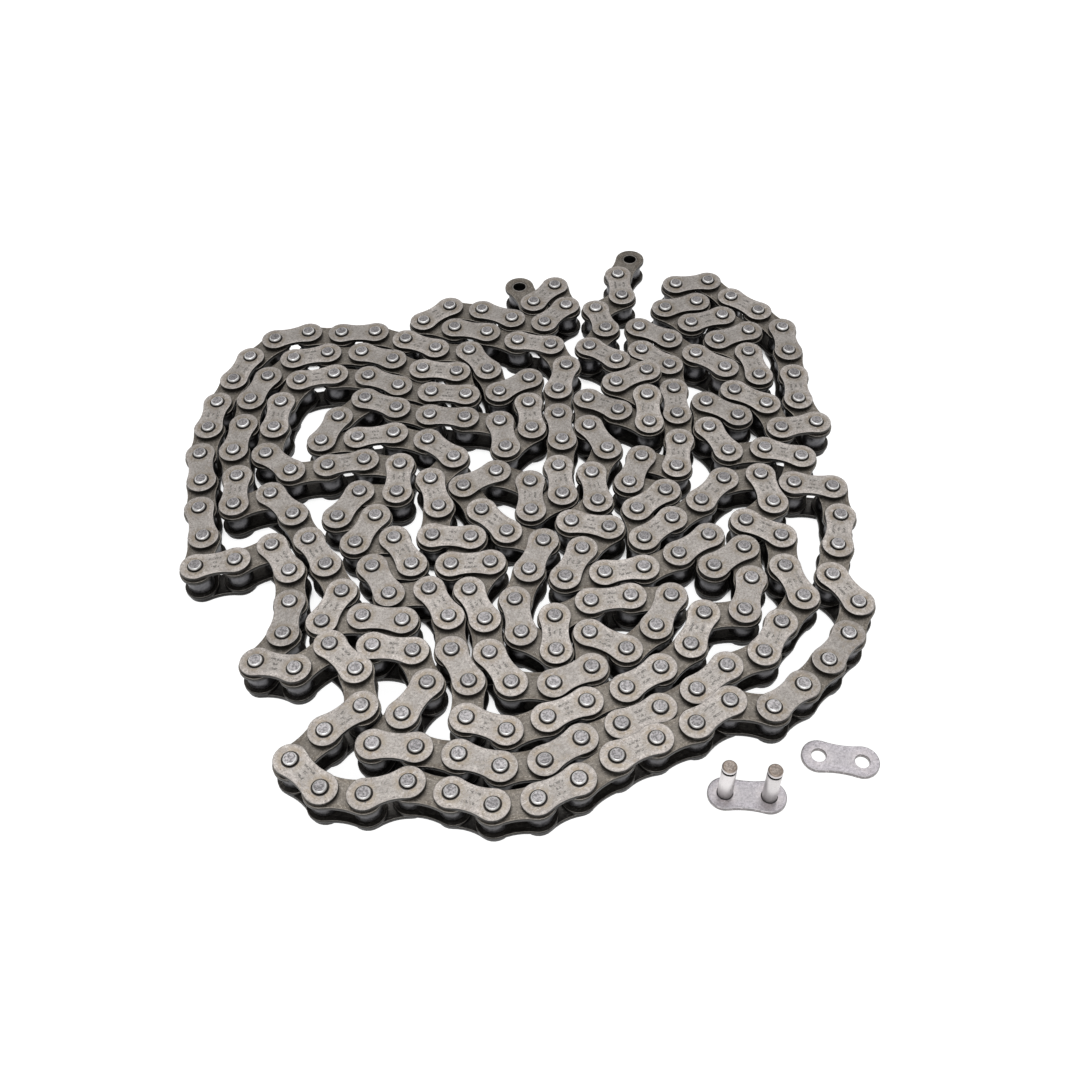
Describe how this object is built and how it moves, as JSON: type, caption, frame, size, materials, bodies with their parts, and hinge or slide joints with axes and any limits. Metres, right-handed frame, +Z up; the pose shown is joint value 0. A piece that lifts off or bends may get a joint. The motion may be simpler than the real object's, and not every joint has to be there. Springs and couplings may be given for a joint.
{
  "type": "roller chain",
  "caption": "Steel roller chain of alternating inner and outer links lying in a flat heap, with its loose connecting link and cover plate beside it.",
  "frame": {"origin": "on the floor under the middle of the heap", "axes": "+Z up along the pins, +X to the right, +Y to the back where the two free ends lie"},
  "size_m": [0.225, 0.2498, 0.0176],
  "materials": {
    "outer_plate_steel": "oiled, warm grey",
    "inner_plate_steel": "oiled, brown grey",
    "pin_steel": "bright riveted ends",
    "bush_steel": "ground",
    "roller_steel": "blackened, glossy with oil",
    "plain_plate_steel": "dry, pale grey"
  },
  "bodies": {
    "heap": {"run_01_back_centre": "outer_plate_steel", "run_02_down_the_middle": "outer_plate_steel", "run_03_front_middle": "outer_plate_steel", "run_04_centre_folds": "outer_plate_steel", "run_05_left_of_centre": "outer_plate_steel", "run_06_back_left": "outer_plate_steel", "run_07_left_rim": "outer_plate_steel", "run_08_front_left": "outer_plate_steel", "run_09_front_nose": "outer_plate_steel", "run_10_front_rim": "outer_plate_steel", "run_11_right_rim": "outer_plate_steel", "run_12_right_folds": "outer_plate_steel", "run_13_back_right": "outer_plate_steel", "run_14_right_of_centre": "outer_plate_steel", "run_15_right_loop": "outer_plate_steel", "run_16_behind_the_rim": "outer_plate_steel", "run_17_front_left_folds": "outer_plate_steel", "run_18_inside_left_rim": "outer_plate_steel", "run_19_back_left_tongue": "outer_plate_steel", "run_20_left_hook": "outer_plate_steel", "run_21_front_zigzag": "outer_plate_steel", "run_22_third_row": "outer_plate_steel", "run_23_right_zigzag": "outer_plate_steel", "run_24_up_to_end_b": "outer_plate_steel"},
    "end_a_link_1": {"end_a_link_1_bush_far": "bush_steel", "end_a_link_1_bush_near": "bush_steel", "end_a_link_1_inner_plate_lower": "inner_plate_steel", "end_a_link_1_inner_plate_upper": "inner_plate_steel"},
    "end_a_link_1_roller_near_body": {"end_a_link_1_roller_near": "roller_steel"},
    "end_a_link_1_roller_far_body": {"end_a_link_1_roller_far": "roller_steel"},
    "end_a_link_2": {"end_a_link_2_outer_plate_lower": "outer_plate_steel", "end_a_link_2_outer_plate_upper": "outer_plate_steel", "end_a_link_2_pin_far": "pin_steel", "end_a_link_2_pin_near": "pin_steel"},
    "end_a_link_3": {"end_a_link_3_bush_far": "bush_steel", "end_a_link_3_bush_near": "bush_steel", "end_a_link_3_inner_plate_lower": "inner_plate_steel", "end_a_link_3_inner_plate_upper": "inner_plate_steel"},
    "end_a_link_3_roller_near_body": {"end_a_link_3_roller_near": "roller_steel"},
    "end_a_link_3_roller_far_body": {"end_a_link_3_roller_far": "roller_steel"},
    "end_b_link_1": {"end_b_link_1_bush_far": "bush_steel", "end_b_link_1_bush_near": "bush_steel", "end_b_link_1_inner_plate_lower": "inner_plate_steel", "end_b_link_1_inner_plate_upper": "inner_plate_steel"},
    "end_b_link_1_roller_near_body": {"end_b_link_1_roller_near": "roller_steel"},
    "end_b_link_1_roller_far_body": {"end_b_link_1_roller_far": "roller_steel"},
    "end_b_link_2": {"end_b_link_2_outer_plate_lower": "outer_plate_steel", "end_b_link_2_outer_plate_upper": "outer_plate_steel", "end_b_link_2_pin_far": "pin_steel", "end_b_link_2_pin_near": "pin_steel"},
    "end_b_link_3": {"end_b_link_3_bush_far": "bush_steel", "end_b_link_3_bush_near": "bush_steel", "end_b_link_3_inner_plate_lower": "inner_plate_steel", "end_b_link_3_inner_plate_upper": "inner_plate_steel"},
    "end_b_link_3_roller_near_body": {"end_b_link_3_roller_near": "roller_steel"},
    "end_b_link_3_roller_far_body": {"end_b_link_3_roller_far": "roller_steel"},
    "connecting_link": {"connecting_link_plate": "plain_plate_steel", "connecting_link_pin_left": "pin_steel", "connecting_link_pin_right": "pin_steel"},
    "cover_plate": {"connecting_link_cover_plate": "plain_plate_steel"}
  },
  "joints": [
    {"name": "end_a_link_1_hinge", "type": "hinge", "parent": "end_a_link_2", "child": "end_a_link_1", "pos_m": [0.01007, 0.0932, 0.0075], "axis": [0, 0, 1], "range_deg": [-10, 42]},
    {"name": "end_a_link_1_roller_near_spin", "type": "hinge", "parent": "end_a_link_1", "child": "end_a_link_1_roller_near_body", "pos_m": [0.01007, 0.0932, 0.0075], "axis": [0, 0, 1], "continuous": true},
    {"name": "end_a_link_1_roller_far_spin", "type": "hinge", "parent": "end_a_link_1", "child": "end_a_link_1_roller_far_body", "pos_m": [0.0047, 0.10471, 0.0075], "axis": [0, 0, 1], "continuous": true},
    {"name": "end_a_link_2_hinge", "type": "hinge", "parent": "end_a_link_3", "child": "end_a_link_2", "pos_m": [0.01857, 0.10264, 0.0075], "axis": [0, 0, -1], "range_deg": [-1, 90]},
    {"name": "end_a_link_3_hinge", "type": "hinge", "parent": "heap", "child": "end_a_link_3", "pos_m": [0.02249, 0.09056, 0.0075], "axis": [0, 0, 1], "range_deg": [-30, 0]},
    {"name": "end_a_link_3_roller_near_spin", "type": "hinge", "parent": "end_a_link_3", "child": "end_a_link_3_roller_near_body", "pos_m": [0.02249, 0.09056, 0.0075], "axis": [0, 0, 1], "continuous": true},
    {"name": "end_a_link_3_roller_far_spin", "type": "hinge", "parent": "end_a_link_3", "child": "end_a_link_3_roller_far_body", "pos_m": [0.01857, 0.10264, 0.0075], "axis": [0, 0, 1], "continuous": true},
    {"name": "end_b_link_1_hinge", "type": "hinge", "parent": "end_b_link_2", "child": "end_b_link_1", "pos_m": [0.04363, 0.10785, 0.0075], "axis": [0, 0, -1], "range_deg": [-120, 60]},
    {"name": "end_b_link_1_roller_near_spin", "type": "hinge", "parent": "end_b_link_1", "child": "end_b_link_1_roller_near_body", "pos_m": [0.04363, 0.10785, 0.0075], "axis": [0, 0, 1], "continuous": true},
    {"name": "end_b_link_1_roller_far_spin", "type": "hinge", "parent": "end_b_link_1", "child": "end_b_link_1_roller_far_body", "pos_m": [0.04919, 0.11926, 0.0075], "axis": [0, 0, 1], "continuous": true},
    {"name": "end_b_link_2_hinge", "type": "hinge", "parent": "end_b_link_3", "child": "end_b_link_2", "pos_m": [0.04429, 0.09517, 0.0075], "axis": [0, 0, 1], "range_deg": [-30, 40]},
    {"name": "end_b_link_3_hinge", "type": "hinge", "parent": "heap", "child": "end_b_link_3", "pos_m": [0.03376, 0.08807, 0.0075], "axis": [0, 0, 1], "range_deg": [-12, 20]},
    {"name": "end_b_link_3_roller_near_spin", "type": "hinge", "parent": "end_b_link_3", "child": "end_b_link_3_roller_near_body", "pos_m": [0.03376, 0.08807, 0.0075], "axis": [0, 0, 1], "continuous": true},
    {"name": "end_b_link_3_roller_far_spin", "type": "hinge", "parent": "end_b_link_3", "child": "end_b_link_3_roller_far_body", "pos_m": [0.04429, 0.09517, 0.0075], "axis": [0, 0, 1], "continuous": true},
    {"name": "connecting_link_lift", "type": "slide", "parent": "heap", "child": "connecting_link", "axis": [0, 0, 1], "range_m": [0, 0.06]},
    {"name": "cover_plate_lift", "type": "slide", "parent": "heap", "child": "cover_plate", "axis": [0, 0, 1], "range_m": [0, 0.06]}
  ]
}
